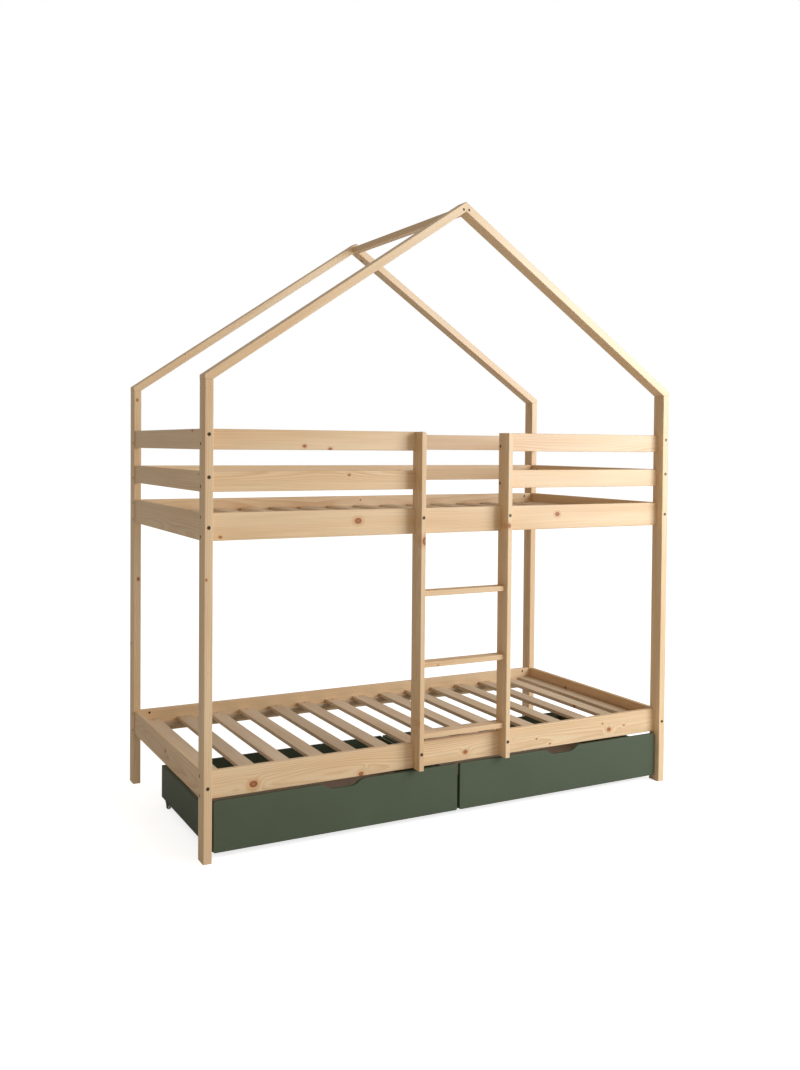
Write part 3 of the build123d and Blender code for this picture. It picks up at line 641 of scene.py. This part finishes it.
def headed_group():
    """A turned fastener with a chamfered head and a hexagon socket, set on every point."""
    tree, given, result = new_tree("headed fastener", "GeometryNodeTree", {
        "Geometry": "NodeSocketGeometry", "Head Radius": "NodeSocketFloat",
        "Head Height": "NodeSocketFloat", "Chamfer": "NodeSocketFloat",
        "Shank Radius": "NodeSocketFloat", "Socket Radius": "NodeSocketFloat",
        "Socket Depth": "NodeSocketFloat", "Material": "NodeSocketMaterial"},
        {"Geometry": "NodeSocketGeometry"})
    # Z is turned to the direction that each point gives its fastener
    aim = add(tree, "GeometryNodeInputNamedAttribute", {"Name": "aim"}, data_type="FLOAT_VECTOR")
    turn = add(tree, "FunctionNodeAlignRotationToVector", {"Vector": aim.outputs[0]}, axis="Z").outputs[0]
    heads = add(tree, "GeometryNodeInstanceOnPoints", {
        "Points": given["Geometry"], "Instance": socket_head(tree, given), "Rotation": turn})
    # a rod of unit length is stretched to each point's own
    rod = add(tree, "GeometryNodeMeshCylinder", {
        "Vertices": SHANK_SIDES, "Radius": given["Shank Radius"], "Depth": 1.0})
    based = add(tree, "GeometryNodeTransform", {
        "Geometry": rod.outputs["Mesh"], "Translation": (0.0, 0.0, 0.5)})
    reach = add(tree, "GeometryNodeInputNamedAttribute", {"Name": "reach"}, data_type="FLOAT")
    start = add(tree, "ShaderNodeMath", {0: given["Head Height"], 1: SHANK_START},
                operation="MULTIPLY").outputs[0]
    length = add(tree, "ShaderNodeMath", {0: reach.outputs[0], 1: start}, operation="SUBTRACT")
    stretch = add(tree, "ShaderNodeCombineXYZ", {"X": 1.0, "Y": 1.0, "Z": length.outputs[0]})
    shanks = add(tree, "GeometryNodeInstanceOnPoints", {
        "Points": given["Geometry"], "Instance": based.outputs[0], "Rotation": turn,
        "Scale": stretch.outputs[0]})
    start_at = add(tree, "ShaderNodeCombineXYZ", {"Z": start})
    placed = add(tree, "GeometryNodeTranslateInstances", {
        "Instances": shanks.outputs[0], "Translation": start_at.outputs[0], "Local Space": True})
    finish_instances(tree, [heads.outputs[0], placed.outputs[0]], given, result)
    return tree


def barrel_group():
    """A barrel nut with its threaded cross hole and a screwdriver slot in one end, set on every point."""
    tree, given, result = new_tree("barrel nut", "GeometryNodeTree", {
        "Geometry": "NodeSocketGeometry", "Radius": "NodeSocketFloat", "Length": "NodeSocketFloat",
        "Hole Radius": "NodeSocketFloat", "Slot Width": "NodeSocketFloat", "Slot Depth": "NodeSocketFloat",
        "Material": "NodeSocketMaterial"}, {"Geometry": "NodeSocketGeometry"})
    barrel = add(tree, "GeometryNodeMeshCylinder", {
        "Vertices": ROUND_SIDES, "Radius": given["Radius"], "Depth": given["Length"]})
    half = add(tree, "ShaderNodeMath", {0: given["Length"], 1: 0.5}, operation="MULTIPLY")
    lift = add(tree, "ShaderNodeCombineXYZ", {"Z": half.outputs[0]}).outputs[0]
    raised = add(tree, "GeometryNodeTransform", {"Geometry": barrel.outputs["Mesh"], "Translation": lift})
    # both cutters are longer than the barrel is thick
    width = add(tree, "ShaderNodeMath", {0: given["Radius"], 1: 3.0}, operation="MULTIPLY").outputs[0]
    drill = add(tree, "GeometryNodeMeshCylinder", {
        "Vertices": HOLE_SIDES, "Radius": given["Hole Radius"], "Depth": width})
    crossing = add(tree, "GeometryNodeTransform", {
        "Geometry": drill.outputs["Mesh"], "Translation": lift, "Rotation": (0.0, pi / 2, 0.0)})
    deep = add(tree, "ShaderNodeMath", {0: given["Slot Depth"], 1: 2.0}, operation="MULTIPLY")
    slot_size = add(tree, "ShaderNodeCombineXYZ", {
        "X": width, "Y": given["Slot Width"], "Z": deep.outputs[0]})
    slot = add(tree, "GeometryNodeMeshCube", {"Size": slot_size.outputs[0]})
    cutters = add(tree, "GeometryNodeJoinGeometry")
    tree.links.new(crossing.outputs[0], cutters.inputs[0])
    tree.links.new(slot.outputs["Mesh"], cutters.inputs[0])
    nut = add(tree, "GeometryNodeMeshBoolean", {
        "Mesh 1": raised.outputs[0], "Mesh 2": cutters.outputs[0]}, operation="DIFFERENCE", solver="EXACT")
    aim = add(tree, "GeometryNodeInputNamedAttribute", {"Name": "aim"}, data_type="FLOAT_VECTOR")
    turn = add(tree, "FunctionNodeAlignRotationToVector", {"Vector": aim.outputs[0]}, axis="Z")
    # the cross hole lies level, along the bolt
    side = add(tree, "ShaderNodeVectorMath", {0: aim.outputs[0], 1: (0.0, 0.0, 1.0)},
               operation="CROSS_PRODUCT")
    faced = add(tree, "FunctionNodeAlignRotationToVector", {
        "Rotation": turn.outputs[0], "Vector": side.outputs[0]}, axis="X", pivot_axis="Z")
    nuts = add(tree, "GeometryNodeInstanceOnPoints", {
        "Points": given["Geometry"], "Instance": nut.outputs["Mesh"], "Rotation": faced.outputs[0]})
    finish_instances(tree, [nuts.outputs[0]], given, result)
    return tree


def finish_instances(tree, parts, given, result):
    """The end of a tree: its instances as one real mesh, with its material."""
    joined = add(tree, "GeometryNodeJoinGeometry")
    for part in parts:
        tree.links.new(part, joined.inputs[0])
    real = add(tree, "GeometryNodeRealizeInstances", {0: joined.outputs[0]})
    covered = add(tree, "GeometryNodeSetMaterial", {
        "Geometry": real.outputs[0], "Material": given["Material"]})
    tree.links.new(covered.outputs[0], result.inputs["Geometry"])


def set_on_points(name, places, tree, values, replaced):
    """One plain mesh made by a node tree on the given places; it rides on the bed's frame.

    A place is a point, the direction from it along the fastener, and the fastener's length. The
    mesh stands for the CAD node that is named as replaced, if there is one.
    """
    seeds = bpy.data.meshes.new(name + "_places")
    seeds.from_pydata([place for place, aim, reach in places], [], [])
    seeds.attributes.new("aim", "FLOAT_VECTOR", "POINT")
    seeds.attributes.new("reach", "FLOAT", "POINT")
    for number, (place, aim, reach) in enumerate(places):
        seeds.attributes["aim"].data[number].vector = aim
        seeds.attributes["reach"].data[number].value = reach
    maker = bpy.data.objects.new(name + "_maker", seeds)
    bpy.context.scene.collection.objects.link(maker)
    modifier = maker.modifiers.new("fasteners", "NODES")
    modifier.node_group = tree
    for socket in tree.interface.items_tree:
        if socket.in_out == "INPUT" and socket.name in values:
            modifier[socket.identifier] = values[socket.name]
    evaluated = maker.evaluated_get(bpy.context.evaluated_depsgraph_get())
    mesh = bpy.data.meshes.new_from_object(evaluated)
    bpy.data.objects.remove(maker)
    mesh.name = name
    mesh.shade_smooth()
    mesh.set_sharp_from_angle(angle=SHARP_EDGE)
    piece = bpy.data.objects.new(name, mesh)
    bpy.context.scene.collection.objects.link(piece)
    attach(piece, "frame")
    if replaced:
        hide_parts(replaced)


def slat_screw_places():
    """Two screws down through each slat into its ledgers; the heads stand a little proud."""
    places = []
    for level in ("lower", "upper"):
        for points in separate_solids("slats_" + level):
            middle, size = box_of(points)
            top = middle.z + size.z / 2 + SLAT_SCREW_STAND
            for end in (-1, 1):
                y = middle.y + end * (size.y / 2 - SLAT_SCREW_INSET)
                down = Vector((0.0, 0.0, -1.0))
                places.append((Vector((middle.x, y, top)), down, SLAT_SCREW_LENGTH))
    return places


def fasteners(zinc):
    """Bolts, nuts and screws with their sockets and slots, in place of the plain turned CAD forms."""
    headed = headed_group()
    barrel = barrel_group()
    bolts = [headed_place(points) for points in separate_solids("connector_bolts")]
    set_on_points("hexagon_socket_bolts", bolts, headed, {
        "Head Radius": 6 * MM, "Head Height": 4 * MM, "Chamfer": 0.6 * MM, "Shank Radius": 3 * MM,
        "Socket Radius": 2.9 * MM, "Socket Depth": 2.8 * MM, "Material": zinc}, "connector_bolts")
    screws = [headed_place(points) for points in separate_solids("roof_screws")]
    set_on_points("roof_screws_with_sockets", screws, headed, {
        "Head Radius": 4.75 * MM, "Head Height": 4 * MM, "Chamfer": 0.5 * MM, "Shank Radius": 3 * MM,
        "Socket Radius": 2.3 * MM, "Socket Depth": 2.2 * MM, "Material": zinc}, "roof_screws")
    set_on_points("slat_screws", slat_screw_places(), headed, {
        "Head Radius": 3.5 * MM, "Head Height": 2.5 * MM, "Chamfer": 0.3 * MM, "Shank Radius": 1.7 * MM,
        "Socket Radius": 1.4 * MM, "Socket Depth": 1.6 * MM, "Material": zinc}, None)
    nuts = separate_solids("connector_nuts")
    sleeves = [points for points in nuts if max(box_of(points)[1]) > LONGEST_BARREL]
    barrels = [points for points in nuts if max(box_of(points)[1]) <= LONGEST_BARREL]
    set_on_points("barrel_nuts", [barrel_place(points) for points in barrels], barrel, {
        "Radius": 5 * MM, "Length": 14 * MM, "Hole Radius": 3.1 * MM, "Slot Width": 1.4 * MM,
        "Slot Depth": 1.6 * MM, "Material": zinc}, "connector_nuts")
    set_on_points("sleeve_nuts", [headed_place(points) for points in sleeves], headed, {
        "Head Radius": 6.5 * MM, "Head Height": 1.5 * MM, "Chamfer": 0.3 * MM, "Shank Radius": 4.2 * MM,
        "Socket Radius": 2.9 * MM, "Socket Depth": 1.2 * MM, "Material": zinc}, None)


def camera():
    """The photograph's viewpoint, fitted to about 80 edges measured in it."""
    data = bpy.data.cameras.new("camera")
    data.sensor_fit = "AUTO"
    data.sensor_width = 36.0
    data.lens = 35.58
    data.shift_y = -0.0597
    data.clip_end = 100.0
    place = Vector((-2.0744, -3.8933, 1.4087))
    yaw = radians(27.961)
    pitch = radians(-1.388)
    roll = radians(-0.479)
    forward = Vector((sin(yaw) * cos(pitch), cos(yaw) * cos(pitch), sin(pitch)))
    right = Vector((cos(yaw), -sin(yaw), 0.0))
    up = right.cross(forward)
    right, up = right * cos(roll) - up * sin(roll), right * sin(roll) + up * cos(roll)
    turn = Matrix((right, up, -forward)).transposed()
    obj = bpy.data.objects.new("camera", data)
    obj.matrix_world = Matrix.Translation(place) @ turn.to_4x4()
    bpy.context.scene.collection.objects.link(obj)
    bpy.context.scene.camera = obj


def soft_light(name, place, target, size, power, colour):
    """A rectangular area light turned to its target."""
    data = bpy.data.lights.new(name, "AREA")
    data.shape = "RECTANGLE"
    data.size, data.size_y = size
    data.energy = power
    data.color = colour
    obj = bpy.data.objects.new(name, data)
    obj.location = place
    obj.rotation_euler = (Vector(target) - Vector(place)).to_track_quat("-Z", "Y").to_euler()
    bpy.context.scene.collection.objects.link(obj)


def white_room():
    """A world that looks white and lights softly, brighter from the right than from the left."""
    world = bpy.data.worlds.new("white room")
    bpy.context.scene.world = world
    world.use_nodes = True
    tree = world.node_tree
    background = tree.nodes["Background"]
    coordinates = add(tree, "ShaderNodeTexCoord").outputs["Generated"]
    direction = add(tree, "ShaderNodeSeparateXYZ", {0: coordinates})
    toward_right = add(tree, "ShaderNodeMapRange", {
        "Value": direction.outputs["X"], "From Min": -1.0, "From Max": 1.0,
        "To Min": BRIGHTNESS_LEFT, "To Max": BRIGHTNESS_RIGHT})
    seen = add(tree, "ShaderNodeLightPath").outputs["Is Camera Ray"]
    strength = add(tree, "ShaderNodeMix", {
        0: seen, NUMBER_A: toward_right.outputs[0], NUMBER_B: 1.0})
    tint = add(tree, "ShaderNodeMix", {
        0: seen, COLOUR_A: linear("#FFF9F1"), COLOUR_B: WHITE}, data_type="RGBA")
    tree.links.new(tint.outputs[COLOUR_OUT], background.inputs["Color"])
    tree.links.new(strength.outputs[0], background.inputs["Strength"])


def studio():
    """A pale floor in a white room, with one large soft light in front on the right."""
    mesh = bpy.data.meshes.new("floor")
    half = FLOOR_HALF_WIDTH
    corners = [(-half, -half, 0), (half, -half, 0), (half, half, 0), (-half, half, 0)]
    mesh.from_pydata(corners, [], [(0, 1, 2, 3)])
    mesh.materials.append(studio_floor())
    floor = bpy.data.objects.new("floor", mesh)
    bpy.context.scene.collection.objects.link(floor)
    white_room()
    soft_light("key", place=(3.0, -3.4, 2.3), target=(0.3, 0.0, 0.9), size=(2.4, 2.4),
               power=158.0, colour=(0.94, 1.0, 1.1))
    bpy.context.scene.view_settings.view_transform = "Standard"


fasteners(finish_nodes())
camera()
studio()
